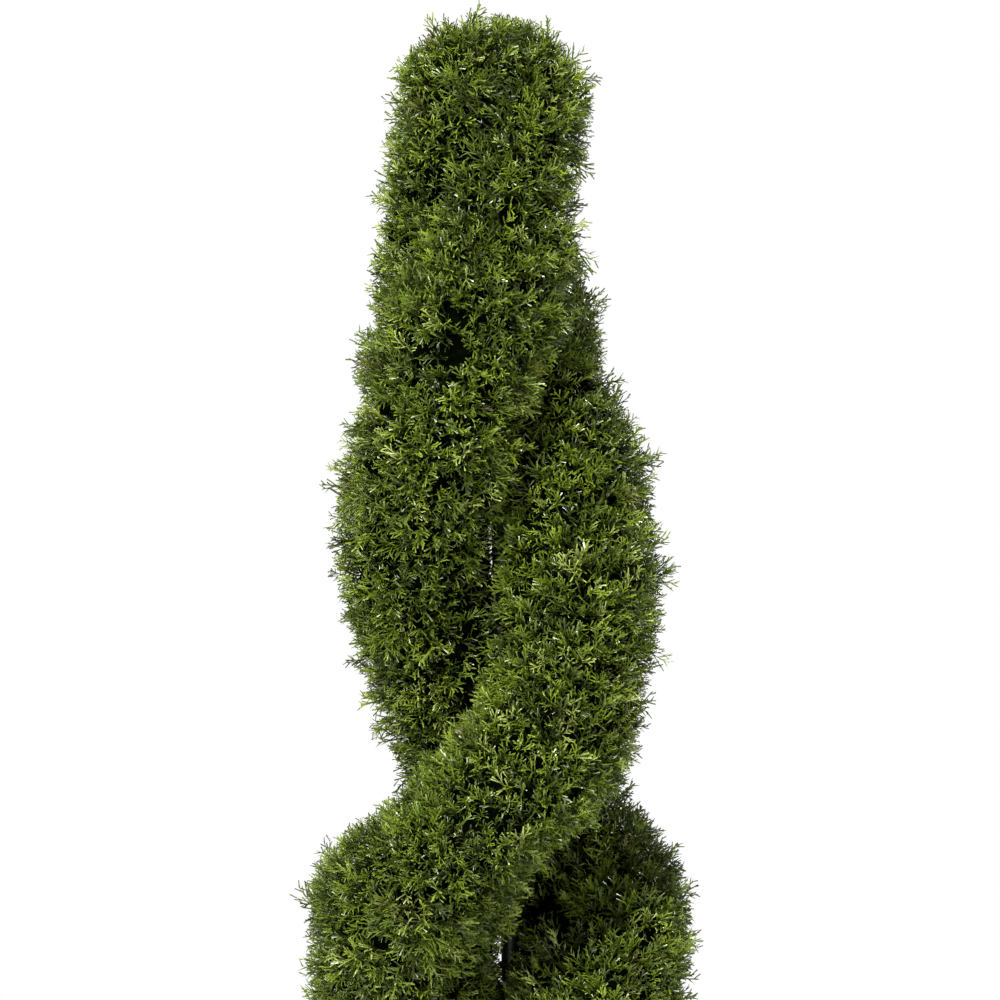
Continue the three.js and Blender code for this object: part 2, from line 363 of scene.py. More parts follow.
# keep a point only if no kept point is nearer than the spacing; kept points are held in cells of one
# spacing a side, so only the 27 cells round a point are searched
def thinOut(points, spacing):
    cells = {}
    kept = []
    near = [(x, y, z) for x in (-1, 0, 1) for y in (-1, 0, 1) for z in (-1, 0, 1)]
    keys = np.floor(points / spacing).astype(int).tolist()
    for i, ((kx, ky, kz), (px, py, pz)) in enumerate(zip(keys, points.tolist())):
        around = (q for x, y, z in near for q in cells.get((kx + x, ky + y, kz + z), ()))
        if all((px - qx) ** 2 + (py - qy) ** 2 + (pz - qz) ** 2 > spacing**2 for qx, qy, qz in around):
            cells.setdefault((kx, ky, kz), []).append((px, py, pz))
            kept.append(i)
    return np.array(kept)


# points on the open outside of one strand, with normals, nearest samples of the middle line and free way:
# the caps where two clumps meet, the faces pressed against the other strand and the pocket are left out
def openSurface(strand, rng):
    points, normals = surfacePoints(strand, tuft["tries"] // 2, rng)
    near = nearestOnPath(points, corePath[strand])
    outward = np.einsum("ij,ij->i", normals, unit(points - corePath[strand][near]))
    inPocket = (((points - pocket["centre"]) / pocket["half"]) ** 2).sum(1) < 1
    shell = (outward > tuft["outward"]) & ~inPocket
    points, normals, near = points[shell], normals[shell], near[shell]
    free = freeWay(allTree, points + normals * mm, normals, tuft["farthest"])
    clear = free > tuft["room"]
    return points[clear], normals[clear], near[clear], free[clear]


# a point can be seen if one of a few rays, normal + random direction, gets away from it
def canBeSeen(points, normals, free, rng):
    start = points + normals * np.minimum(0.5 * free, spray["lookFrom"])[:, None]
    seen = np.zeros(len(points), bool)
    for _ in range(spray["looks"]):
        way = unit(normals + unit(rng.normal(size=normals.shape)))
        seen |= freeWay(allTree, start, way, spray["lookReach"]) > spray["openWay"]
    return seen


# tufts of one strand: place, axis = outward + normal + lift up + unrest, and nearest middle line sample
def placeTufts(strand, points, normals, near, free, rng):
    roomy = np.flatnonzero(free > tuft["tuftRoom"])
    kept = roomy[thinOut(points[roomy], tuft["spacing"])]
    points, normals, near = points[kept], normals[kept], near[kept]
    axis = unit(unit(points - corePath[strand][near]) + normals)
    axis = unit(axis + tuft["lift"] * upward + tuft["unrest"] * rng.normal(size=axis.shape))
    return points, axis, near


# sprays

spray = {
    "spacing": 8.4 * mm,  # least distance between two spray tips on the outline
    "depth": 46 * mm,  # how deep a tuft's foot lies under the surface
    "gather": 0.15,  # how far a tuft's sprays draw together at their feet
    "ownTurn": 0.22,  # random turn of each spray
    "sink": -4 * mm,  # where the tips stand against the outline
    "scatter": 3 * mm,  # random rise or fall of each tip
    "tuftScatter": 1.5 * mm,  # and of a tuft's tips together
    "proudest": 3 * mm,  # limit of both, for sprays that aren't loose
    "creviceWidth": 60 * mm,  # free way under which a spray counts as standing in a crevice
    "bridge": 7 * mm,  # how far tips reach across a gap to the other strand
    "longest": 58 * mm,
    "footTurn": 0.7,  # how far the feet scatter, against ownTurn
    "looks": 8,  # rays that tell whether a spray can be seen
    "lookFrom": 6 * mm,
    "lookReach": 500 * mm,
    "openWay": 490 * mm,  # a ray that runs this far has got away
    "looseShare": 0.08,  # share of sprays that stand proud of the clipped outline
    "looseReach": (4 * mm, 14 * mm),
    "tuftToneShare": 0.12,  # share of sprays that take their tuft's tone
    # crevice sprays dealt the deep tone paint the shade in the creases
    "creviceShadeShare": 0.35,  # share of crevice sprays that take the deep tone
    "patterns": 8,
    # the inner needles take a darker tone that paints the shade deep in each spray
    "shadedInnerShare": 0.60,  # needles that start under this share of the stalk take the dark inner tone
    "seed": 23,
}

# one spray; lengths, half widths and places are shares of the spray's length
growth = {
    "stalkRods": ((0.0, 0.5), (0.46, 0.84)),
    "stalkWidth": 0.019,
    "stalkBend": 0.12,
    "stalkWave": 2.6,
    "shoots": 5,
    "firstShoot": 0.40,
    "shootSpan": 0.42,
    "shootPlaceUnrest": 0.02,
    "shootTurnUnrest": 0.9,
    "shootOpening": (26, 54),  # degrees between stalk and shoot
    "shootLength": 0.38,
    "shootWidth": 0.0138,
    "shortening": 0.25,  # of the last shoot against the first
    "endShoot": (0.78, 0.24),  # place and length
    "sideNeedles": 3,
    "needleEnds": (0.8, 0.7),  # room before the first and after the last needle, in needle steps
    "needlePlaceUnrest": 0.2,
    "needleLength": 0.19,
    "needleWidth": 0.0138,
    "needleShortening": 0.35,
    "needleForward": 0.80,
    "needleTurn": 0.62,
    "needleTurnUnrest": (0.8, 1.2),
    "needleUnrest": 0.10,
    "lengthUnrest": (0.85, 1.15),
}

# greens by how often they are dealt, with base colour and roughness
tones = {
    "deep": (0.15, (0.040, 0.061, 0.0035), 0.40),
    "leaf": (0.30, (0.073, 0.110, 0.006), 0.38),
    "fresh": (0.29, (0.122, 0.178, 0.010), 0.36),
    "lime": (0.15, (0.185, 0.252, 0.018), 0.35),
    "pale": (0.06, (0.280, 0.340, 0.075), 0.30),
    "olive": (0.02, (0.092, 0.094, 0.011), 0.38),
}

# base colour and roughness of the needles at each spray's foot: a darker green, painted shade of the spray's
# depth
innerShadeTone = ((0.024, 0.035, 0.0025), 0.5)


# one spray by a branching rule, on a stalk of length 1: shoots leave the outer part of the stalk left and
# right in turn with a random twist, each shorter than the last; each shoot carries side needles left and
# right in turn, and the stalk's own end does the same. Gives starts, ends and half widths of its needles.
def growSpray(rng):
    bend = rng.uniform(-growth["stalkBend"], growth["stalkBend"], 2)
    needles = []

    def stalkAt(z):
        return np.array([bend[0] * math.sin(growth["stalkWave"] * z), bend[1] * z * z, z])

    def grow(start, heading, length):
        heading = unit(heading)
        needles.append((start, start + heading * length, growth["shootWidth"]))
        side, up = frameAcross(heading)
        roll = rng.uniform(0, fullTurn)
        flat = math.cos(roll) * side + math.sin(roll) * up
        unrest = growth["needlePlaceUnrest"]
        before, after = growth["needleEnds"]
        for k in range(growth["sideNeedles"]):
            share = (k + before + rng.uniform(-unrest, unrest)) / (growth["sideNeedles"] + after)
            turn = (1 if k % 2 else -1) * growth["needleTurn"] * rng.uniform(*growth["needleTurnUnrest"])
            aside = flat * turn + rng.normal(0, growth["needleUnrest"], 3)
            way = unit(heading * growth["needleForward"] + aside)
            root = start + heading * length * share
            size = growth["needleLength"] * (1 - growth["needleShortening"] * share)
            size *= rng.uniform(*growth["lengthUnrest"])
            needles.append((root, root + way * size, growth["needleWidth"]))

    for low, high in growth["stalkRods"]:
        needles.append((stalkAt(low), stalkAt(high), growth["stalkWidth"]))
    for i in range(growth["shoots"]):
        share = i / growth["shoots"]
        unrest = rng.uniform(-growth["shootPlaceUnrest"], growth["shootPlaceUnrest"])
        z = growth["firstShoot"] + growth["shootSpan"] * share + unrest
        azimuth = math.pi * i + rng.uniform(-growth["shootTurnUnrest"], growth["shootTurnUnrest"])
        opening = math.radians(rng.uniform(*growth["shootOpening"]))
        flat = np.array([math.cos(azimuth), math.sin(azimuth), 0.0])
        heading = flat * math.sin(opening) + np.array([0, 0, math.cos(opening)])
        length = growth["shootLength"] * (1 - growth["shortening"] * share)
        grow(stalkAt(z), heading, length * rng.uniform(*growth["lengthUnrest"]))
    endPlace, endLength = growth["endShoot"]
    grow(stalkAt(endPlace), stalkAt(1.0) - stalkAt(endPlace), endLength)
    return needles


# needles split by where they start along the stalk: the inner ones, coloured as painted shade, then the outer
# ones
def splitSpray(needles):
    inner = [n for n in needles if n[0][2] < spray["shadedInnerShare"]]
    outer = [n for n in needles if n[0][2] >= spray["shadedInnerShare"]]
    return needleMesh(inner), needleMesh(outer)


# each needle is a slim rod of four faces: an edge across its start and an edge the other way across its
# end, joined by four triangles, a = start + w up, b = start - w up, c = end + w side, d = end - w side
def needleMesh(needles):
    start, end = (np.array([n[k] for n in needles]) for k in (0, 1))
    width = np.array([n[2] for n in needles])[:, None]
    side, up = frameAcross(unit(end - start))
    points = np.stack([start + width * up, start - width * up, end + width * side, end - width * side], 1)
    faces = np.array([[0, 2, 1], [0, 1, 3], [3, 2, 0], [2, 3, 1]])
    return points.reshape(-1, 3), repeatFaces(faces, len(needles), 4)


patternRng = np.random.default_rng(spray["seed"])
innerPatterns, outerPatterns = zip(*(splitSpray(growSpray(patternRng)) for _ in range(spray["patterns"])))
print("spray patterns:", len(outerPatterns))


# sprays of one strand: tips evenly over its outline, tip = point + (normal + tuft axis + turn) * proud,
# and feet under it, drawn together, foot = point - (tuft axis + normal) * depth - gather * (point - tuft)
def placeSprays(points, normals, free, tuftPoints, tuftAxis, rng):
    kept = thinOut(points, spray["spacing"])
    kept = kept[canBeSeen(points[kept], normals[kept], free[kept], rng)]
    points, normals, free = points[kept], normals[kept], free[kept]
    owner = nearestOnPath(points, tuftPoints)
    axis = tuftAxis[owner]
    proud = spray["sink"] + rng.normal(0, spray["scatter"], len(points))
    proud += rng.normal(0, spray["tuftScatter"], len(tuftPoints))[owner]
    loose = rng.random(len(points)) < spray["looseShare"]
    looseProud = rng.uniform(*spray["looseReach"], len(points))
    proud = np.where(loose, looseProud, np.minimum(proud, spray["proudest"]))
    crevice = free < spray["creviceWidth"]
    proud = np.where(crevice, np.minimum(0.5 * free, spray["bridge"]), proud)
    straight = unit(unit(normals) + axis + spray["ownTurn"] * rng.normal(size=axis.shape))
    tips = points + straight * proud[:, None]
    offset = points - tuftPoints[owner]
    offset -= axis * np.einsum("ij,ij->i", offset, axis)[:, None]
    foot = points - unit(axis + normals) * spray["depth"] - spray["gather"] * offset
    foot += spray["ownTurn"] * spray["depth"] * rng.normal(size=axis.shape) * spray["footTurn"]
    length = np.linalg.norm(tips - foot, axis=1, keepdims=True)
    foot = tips - (tips - foot) * np.minimum(1, spray["longest"] / length)
    return foot, tips, owner, crevice


# copies of one pattern: point = foot + length * (x side + y up + z direction), turned about its stalk
def spreadPattern(pattern, foot, tips, roll):
    points, faces = pattern
    length = np.linalg.norm(tips - foot, axis=1)
    direction = (tips - foot) / length[:, None]
    side, up = frameAcross(direction)
    c, s = np.cos(roll)[:, None], np.sin(roll)[:, None]
    side, up = side * c + up * s, up * c - side * s
    turn = np.stack([side, up, direction], 1) * length[:, None, None]
    placed = foot[:, None] + np.einsum("pk,nkj->npj", points, turn)
    return placed.reshape(-1, 3), repeatFaces(faces, len(foot), len(points))


toneNames = list(tones)
toneShares = np.array([tones[t][0] for t in toneNames])
toneShares /= toneShares.sum()
toneMaterials = {t: plainMaterial("needle" + t.capitalize(), *tones[t][1:]) for t in toneNames}
# inner needles: a darker, duller green painted as the shade deep in the sprays
toneMaterials["inner"] = plainMaterial("needleInnerShade", *innerShadeTone, **{"Specular IOR Level": 0.2})


# the tone of each spray: its own by chance, its tuft's for a few, and deep, as painted shade, for some in
# crevices
def dealTones(tuftCount, owner, crevice, rng):
    tuftTone = rng.choice(len(toneNames), tuftCount, p=toneShares)
    ownTone = rng.choice(len(toneNames), len(owner), p=toneShares)
    tone = np.where(rng.random(len(owner)) < spray["tuftToneShare"], tuftTone[owner], ownTone)
    # painted shade: some crevice sprays turned to the deep tone
    tone[crevice & (rng.random(len(owner)) < spray["creviceShadeShare"])] = toneNames.index("deep")
    return tone


# the needles of one tone as one piece: every pattern copied onto the sprays that drew it
def makeSprayPiece(strand, toneName, shapes, chosen, foot, tips, roll):
    parts = []
    for shape, mine in zip(shapes, chosen):
        parts.append(spreadPattern(shape, foot[mine], tips[mine], roll[mine]))
    points, faces = joinMeshes(parts)
    name = f"{strand}Strand{toneName.capitalize()}Sprays"
    piece = makePiece(name, points, faces, toneMaterials[toneName], smooth=False)
    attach(piece, "root")
    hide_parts(*clumpNodes[strand])
    print(name, len(faces), "triangles")
    return len(faces)


tuftRng = np.random.default_rng(tuft["seed"])
sprayRng = np.random.default_rng(spray["seed"] + 1)
tufts = {}
sprayTotal = triangleTotal = 0
for strand in strandNames:
    points, normals, near, free = openSurface(strand, tuftRng)
    tufts[strand] = placeTufts(strand, points, normals, near, free, tuftRng)
    foot, tips, owner, crevice = placeSprays(points, normals, free, *tufts[strand][:2], sprayRng)
    tone = dealTones(len(tufts[strand][0]), owner, crevice, sprayRng)
    kind = sprayRng.integers(0, spray["patterns"], len(owner))
    roll = sprayRng.uniform(0, fullTurn, len(owner))
    kinds = [kind == k for k in range(spray["patterns"])]
    for t, toneName in enumerate(toneNames):
        chosen = [mine & (tone == t) for mine in kinds]
        triangleTotal += makeSprayPiece(strand, toneName, outerPatterns, chosen, foot, tips, roll)
    # each spray's inner needles, in the painted-shade tone
    triangleTotal += makeSprayPiece(strand, "inner", innerPatterns, kinds, foot, tips, roll)
    sprayTotal += len(owner)
    print(strand, "strand:", len(tufts[strand][0]), "tufts,", len(owner), "sprays")
print("sprays in all:", sprayTotal, "triangles:", triangleTotal)


# twigs, wires and the backing of painted shade

twig = {
    "footRadius": 1.7 * mm,
    "tipRadius": 1.1 * mm,
    "rings": 5,
    "sides": 4,
    "short": 8 * mm,  # how far it ends before the tuft's foot
    "back": 10,  # samples of the middle line between its start and the tuft
    "bendShare": 0.55,  # how far out its bend lies
    "sag": 6 * mm,
}
wire = {
    "footRadius": 5 * mm,
    "radius": 3.6 * mm,
    "tipRadius": 2.0 * mm,
    "footEnd": 0.12,  # share of the wire over which the foot narrows
    "every": 24,  # samples of the middle line from knot to knot
    "rings": 700,
    "sides": 10,
    "wrap": 9 * mm,
    "ridge": 0.5 * mm,
}
# the backing: a near-black sheet under the sprays, painted shade where the gaps between needles look into the
# foliage
backing = {
    "outerDepth": 27 * mm,
    "innerDepth": 9 * mm,
    "innerSide": (0.45, 0.85),  # where the side that turns to the pole starts, as -cos(angle)
    "least": 9 * mm,
    "farthest": 160 * mm,
    "spread": 9,  # rows either side that a reading is levelled over
    "level": 0.7,
    "taper": 10,  # rows over which each end closes
    "rough": 7 * mm,
    "roughLength": 13 * mm,
    "rows": 300,
    "sides": 28,
    "seed": 40,
}

twigMaterial = plainMaterial("twigPlastic", (0.030, 0.034, 0.012), 0.5)
# near-black with no reflection: painted shade for the depth of the foliage
shadeBackingColor = (0.0015, 0.0025, 0.0008)
shadeBackingMaterial = plainMaterial("paintedShadeBacking", shadeBackingColor, 1.0, **{"Specular IOR Level": 0.0})
wireMaterial = grainMaterial(
    name="wireCoating",
    dark=(0.010, 0.013, 0.008),
    light=(0.022, 0.027, 0.016),
    rough=(0.35, 0.55),
    scale=900,
    broadScale=60,
    broadShare=0.4,
    relief=0.25,
    depth=0.4 * mm,
)


# twigs from the wire to each tuft's foot: quadratic curves p = (1-t)^2 a + 2t(1-t) b + t^2 c, with rings
# whose radius falls along t
def makeTwigs(strand):
    points, axis, near = tufts[strand]
    start = corePath[strand][np.maximum(near - twig["back"], 0)]
    end = points - axis * (spray["depth"] - twig["short"])
    bend = corePath[strand][near] * (1 - twig["bendShare"]) + end * twig["bendShare"] - upward * twig["sag"]
    t = np.linspace(0, 1, twig["rings"])[None, :, None]
    a, b, c = start[:, None], bend[:, None], end[:, None]
    line = (1 - t) ** 2 * a + 2 * t * (1 - t) * b + t * t * c
    direction = unit(2 * (1 - t) * (b - a) + 2 * t * (c - b))
    side, up = frameAcross(direction)
    radius = twig["footRadius"] + (twig["tipRadius"] - twig["footRadius"]) * t
    angle = np.arange(twig["sides"]) * fullTurn / twig["sides"]
    ring = np.cos(angle)[:, None] * side[:, :, None] + np.sin(angle)[:, None] * up[:, :, None]
    grid = line[:, :, None] + ring * radius[..., None]
    ends = np.stack([grid[:, 0].mean(1), grid[:, -1].mean(1)], 1)
    allPoints = np.concatenate([grid.reshape(len(grid), -1, 3), ends], 1)
    return allPoints.reshape(-1, 3), repeatFaces(closedGrid(grid[0])[1], len(grid), allPoints.shape[1])


# a wire along a path, wrapped with tape: radius = r(t) + ridge * |sin(pi s / wrap + angle / 2)|
def makeWire(path, radii, sides, wrap, ridge):
    tangent = unit(np.gradient(path, axis=0))
    side, up = frameAcross(tangent)
    angle = np.arange(sides) * fullTurn / sides
    run = np.concatenate([[0], np.cumsum(np.linalg.norm(np.diff(path, axis=0), axis=1))])
    radius = radii[:, None] + ridge * np.abs(np.sin(math.pi * run[:, None] / wrap + angle[None] / 2))
    ring = np.cos(angle)[None, :, None] * side[:, None] + np.sin(angle)[None, :, None] * up[:, None]
    return closedGrid(path[:, None] + ring * radius[..., None])


# how far the strand's surface is from its middle line, by place along it and angle about it
def shellDistance(strand, rows, sides):
    pick = np.linspace(4, core["samples"] - 5, rows).astype(int)
    centre, tangent = corePath[strand][pick], coreTangent[strand][pick]
    outward = centre - poleAxis(centre[:, 2])
    outward = unit(outward - tangent * np.einsum("ij,ij->i", outward, tangent)[:, None])
    across = np.cross(tangent, outward)
    angle = np.arange(sides) * fullTurn / sides
    ray = np.cos(angle)[None, :, None] * outward[:, None] + np.sin(angle)[None, :, None] * across[:, None]
    origin = np.repeat(centre[:, None], sides, 1).reshape(-1, 3)
    reach = freeWay(strandTree[strand], origin, ray.reshape(-1, 3), backing["farthest"]).reshape(rows, sides)
    # caps between clumps give short readings, so each takes a high quantile of its neighbours
    steps = range(-backing["spread"], backing["spread"] + 1, 2)
    stack = np.stack([reach[np.clip(np.arange(rows) + k, 0, rows - 1)] for k in steps])
    return centre, ray, angle, np.quantile(stack, backing["level"], axis=0)


# the dark backing under the sprays, a near-black sheet of painted shade for the depth of the foliage: radius
# = reach - depth, where the depth is outerDepth, falling to innerDepth on the side that turns to the pole;
# its ends close and noise roughens it
def makeBacking(strand, seed):
    centre, ray, angle, reach = shellDistance(strand, backing["rows"], backing["sides"])
    inward = smoothStep(*backing["innerSide"], -np.cos(angle))[None]
    depth = backing["outerDepth"] * (1 - inward) + backing["innerDepth"] * inward
    radius = np.maximum(reach - depth, backing["least"])
    row = np.arange(backing["rows"])
    fromEnd = np.minimum(row, backing["rows"] - 1 - row)
    radius = radius * np.sqrt(smoothStep(-1, backing["taper"], fromEnd))[:, None]
    grid = centre[:, None] + ray * radius[..., None]
    noise = waveNoise(grid, backing["roughLength"], seed) * backing["rough"] / 2
    return closedGrid(grid + ray * noise[..., None])


# a strand's own wire, from the pole along its arm and middle line: its radius falls evenly, and more at
# its foot
def makeStrandWire(strand):
    path = smoothPath(np.concatenate([armPath[strand], corePath[strand][:: wire["every"]]]), wire["rings"])
    fall = np.linspace(0, 1, len(path))
    radii = wire["radius"] + (wire["tipRadius"] - wire["radius"]) * fall
    radii += (wire["footRadius"] - wire["radius"]) * (1 - smoothStep(0, wire["footEnd"], fall))
    return makeWire(path, radii, wire["sides"], wire["wrap"], wire["ridge"])


for number, strand in enumerate(strandNames):
    twigs = makePiece(strand + "StrandTwigs", *makeTwigs(strand), twigMaterial, smooth=False)
    shape = makeBacking(strand, backing["seed"] + number)
    back = makePiece(strand + "StrandShadeBacking", *shape, shadeBackingMaterial)
    bough = makePiece(strand + "StrandWire", *makeStrandWire(strand), wireMaterial)
    for piece in (twigs, back):
        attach(piece, "root")
        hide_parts(*clumpNodes[strand])
    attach(bough, "root")
    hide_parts(strand + "_strand_arm")
print("twigs, wires and backing ready")


# pole

pole = {
    "rows": 420,
    "sides": 28,
    "lines": 9,  # faint drawn lines round it
    "lineDepth": 0.12 * mm,
    "ripple": 0.05 * mm,
    "rippleLength": 23 * mm,
    "dome": 6 * mm,  # length over which its tip rounds
}
ties = {
    "step": 96 * mm,
    "lowest": 260 * mm,
    "underTip": 50 * mm,
    "wireRadius": 1.1 * mm,
    "turns": 3,
    "pitch": 2.1,  # in wire radii
    "bite": 0.4,  # share of the wire's radius that lies in the pole's coating
    "ringsEachTurn": 20,
    "sides": 6,
}

poleMaterial = grainMaterial(
    name="poleCoating",
    dark=(0.008, 0.011, 0.007),
    light=(0.020, 0.025, 0.016),
    rough=(0.28, 0.5),
    scale=700,
    broadScale=30,
    broadShare=0.5,
    relief=0.2,
    depth=0.5 * mm,
)


# the pole: a tapering tube with faint drawn lines along it and a round tip,
# radius = (foot to tip) * dome + lineDepth * (sin(lines * angle) - 1) + ripple * sin(height and angle)
def makePole():
    rows, sides = pole["rows"], pole["sides"]
    share = np.linspace(0, 1, rows)
    centre = poleLow + share[:, None] * (poleHigh - poleLow)
    along = unit(poleHigh - poleLow)
    side, up = frameAcross(along)
    angle = np.arange(sides) * fullTurn / sides
    length = np.linalg.norm(poleHigh - poleLow)
    fromTip = (1 - share) * length
    dome = np.sqrt(1 - np.clip(1 - fromTip / pole["dome"], 0, 0.98) ** 2)
    radius = (poleFootRadius + (poleTipRadius - poleFootRadius) * share) * dome
    radius = radius[:, None] + pole["lineDepth"] * (np.sin(pole["lines"] * angle)[None] - 1)
    radius += pole["ripple"] * np.sin(centre[:, 2:3] * fullTurn / pole["rippleLength"] + 2 * angle[None])
    ring = np.cos(angle)[:, None] * side + np.sin(angle)[:, None] * up
    return closedGrid(centre[:, None] + ring[None] * radius[..., None])


# tie wires that bind the strands' wires to the pole: short helices, centre = pole axis + pole radius +
# wire radius less its bite
def makeTies():
    side, up = frameAcross(unit(poleHigh - poleLow))
    angle = np.linspace(0, fullTurn * ties["turns"], ties["ringsEachTurn"] * ties["turns"] + 1)
    radius = poleFootRadius + (1 - ties["bite"]) * ties["wireRadius"]
    coil = radius * (np.cos(angle)[:, None] * side + np.sin(angle)[:, None] * up)
    rise = angle / fullTurn * ties["pitch"] * ties["wireRadius"]
    radii = np.full(len(angle), ties["wireRadius"])
    heights = np.arange(cadLow.z + ties["lowest"], poleHigh[2] - ties["underTip"], ties["step"])
    return joinMeshes([makeWire(poleAxis(z + rise) + coil, radii, ties["sides"], 1, 0) for z in heights])


poleShaft = makePiece("poleShaft", *makePole(), poleMaterial)
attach(poleShaft, "root")
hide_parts("pole")
poleTies = makePiece("poleTies", *makeTies(), wireMaterial)
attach(poleTies, "root")
print("pole ready")


# pot and filling

potLow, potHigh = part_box("pot")
pot = {
    "height": potHigh.z,
    "rim": (potHigh.x - potLow.x) / 2,
    "rimHeight": 16 * mm,
    "rimOut": 5 * mm,
    "foot": 80 * mm,
    "wall": 3 * mm,
    "floor": 5 * mm,
    "round": 2.2 * mm,  # reach of its rounded edges
    "middle": 4 * mm,  # radius at which the floor's faces end in a fan
    "sides": 144,
    "step": 4 * mm,
    "bands": (52 * mm, 58 * mm),  # two shallow moulded lines under the rim, measured from the top
    "bandDepth": 0.7 * mm,
    "bandWidth": 1.3 * mm,
    "outerShare": 0.55,  # share of the profile that lies on the outside
}


# a rounded corner of a profile: points on the quarter curve between two edges
def corner(before, at, after, radius, steps=5):
    before, at, after = (np.array(p, float) for p in (before, at, after))
    start = at + unit(before - at) * min(radius, np.linalg.norm(before - at) / 2)
    end = at + unit(after - at) * min(radius, np.linalg.norm(after - at) / 2)
    t = np.linspace(0, 1, steps)[:, None]
    return (1 - t) ** 2 * start + 2 * t * (1 - t) * at + t * t * end


# straight runs of a profile cut into steps no longer than stepLength
def fillProfile(points, stepLength):
    out = [points[0]]
    for a, b in zip(points[:-1], points[1:]):
        n = max(1, int(np.ceil(np.linalg.norm(b - a) / stepLength)))
        out += [a + (b - a) * i / n for i in range(1, n + 1)]
    return np.array(out)


# a profile of (radius, height) carried round the Z axis: (r cos a, r sin a, h)
def turnProfile(profile, sides):
    angle = np.arange(sides) * fullTurn / sides
    r, h = profile[:, 0][:, None], profile[:, 1][:, None]
    return np.stack([r * np.cos(angle), r * np.sin(angle), h + 0 * angle], -1)


# outside radius of the pot at height h: it grows evenly from foot to mouth
def wallAt(h):
    mouth = pot["rim"] - pot["rimOut"]
    return pot["foot"] + (mouth - pot["foot"]) * h / pot["height"]


# pot: its profile carried round, with shallow grooves, radius less depth * exp(-((h - band) / width)^2)
def makePot():
    top, under = pot["height"], pot["height"] - pot["rimHeight"]
    knots = [
        (pot["middle"], 0),
        (pot["foot"] - 0.5 * mm, 0),
        (wallAt(under), under),
        (pot["rim"], under),
        (pot["rim"], top),
        (wallAt(top) - pot["wall"], top),
        (wallAt(pot["floor"]) - pot["wall"], pot["floor"]),
        (pot["middle"], pot["floor"]),
    ]
    line = [np.array([knots[0]])]
    for i in range(1, len(knots) - 1):
        line.append(corner(knots[i - 1], knots[i], knots[i + 1], pot["round"]))
    line.append(np.array([knots[-1]]))
    profile = fillProfile(np.concatenate(line), pot["step"])
    outside = np.arange(len(profile)) < len(profile) * pot["outerShare"]
    for band in pot["bands"]:
        dip = np.exp(-(((profile[:, 1] - (top - band)) / pot["bandWidth"]) ** 2))
        profile[:, 0] -= np.where(outside & (profile[:, 0] > pot["foot"]), dip * pot["bandDepth"], 0)
    return closedGrid(turnProfile(profile, pot["sides"]))


fillLow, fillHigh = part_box("filling")
filling = {
    "top": fillHigh.z,
    "low": fillLow.z,
    "topRadius": (fillHigh.x - fillLow.x) / 2,
    "wallGap": 0.6 * mm,
    "lowGap": 1.0 * mm,  # gap to the pot's inside lower down
    "poleGap": 0.3 * mm,
    "rings": 90,
    "sides": 200,
    "crowding": 0.9,  # power that sets the rings closer to the pot's wall
    "sideRows": 8,
    "baseShare": 0.3,  # radius at which the underside's faces end in a fan
    "under": 2 * mm,  # how far its edge lies under the top
    "dish": 5 * mm,
    "shoulder": 5 * mm,  # fall of the round edge
    "shoulderFrom": 0.90,
    "shoulderCalm": 0.7,  # how much less grit it has
    "grit": 1.1 * mm,
    "coarse": (0.55, 9 * mm, 71),  # share, wavelength and seed of each noise
    "fine": (0.45, 3.4 * mm, 72),
    "collar": 1.6 * mm,
    "collarWidth": 5 * mm,
}


# inside radius of the pot at height h, less a small gap
def fillRadius(h):
    return wallAt(h) - pot["wall"] - filling["lowGap"]


# grit: two noises added by their shares
def gritNoise(points):
    layers = (filling["coarse"], filling["fine"])
    return sum(share * waveNoise(points, length, seed) for share, length, seed in layers)


# cast filling: a dished disc with grit, z = top - under - dish (1 - r^2) - shoulder + grit * noise + collar,
# and a plain side down to its base. Its middle closes round the pole.
def makeFilling():
    outer = filling["topRadius"] - filling["wallGap"]
    inner = poleFootRadius + filling["poleGap"]
    r = np.linspace(1, 0, filling["rings"]) ** filling["crowding"]
    angle = np.arange(filling["sides"]) * fullTurn / filling["sides"]
    radius = inner + (outer - inner) * r
    centre = poleAxis(filling["top"]) * np.array([1, 1, 0])
    offset = centre[None, None] * (1 - r)[:, None, None]
    x = radius[:, None] * np.cos(angle) + offset[..., 0]
    y = radius[:, None] * np.sin(angle) + offset[..., 1]
    flat = np.stack([x, y, np.zeros_like(x)], -1)
    shoulder = smoothStep(filling["shoulderFrom"], 1.0, r)[:, None]
    collar = np.exp(-(((radius - poleFootRadius) / filling["collarWidth"]) ** 2))[:, None] * filling["collar"]
    z = filling["top"] - filling["under"] - filling["dish"] * (1 - r[:, None] ** 2)
    z = z - filling["shoulder"] * shoulder**2 + collar
    z = z + filling["grit"] * gritNoise(flat) * (1 - filling["shoulderCalm"] * shoulder)
    surface = np.stack([x, y, np.minimum(z, filling["top"])], -1)
    slope = (outer - fillRadius(filling["low"])) / (filling["top"] - filling["low"])
    down = np.linspace(0.0, 1.0, filling["sideRows"])[:, None]
    sideZ = filling["low"] + (surface[0, :, 2][None] - filling["low"]) * down
    sideR = outer - slope * (filling["top"] - sideZ)
    side = np.stack([sideR * np.cos(angle), sideR * np.sin(angle), sideZ], -1)[:-1]
    baseR = filling["baseShare"] * sideR[0]
    base = np.stack([baseR * np.cos(angle), baseR * np.sin(angle), 0 * angle + filling["low"]], -1)
    return closedGrid(np.concatenate([base[None], side, surface]))


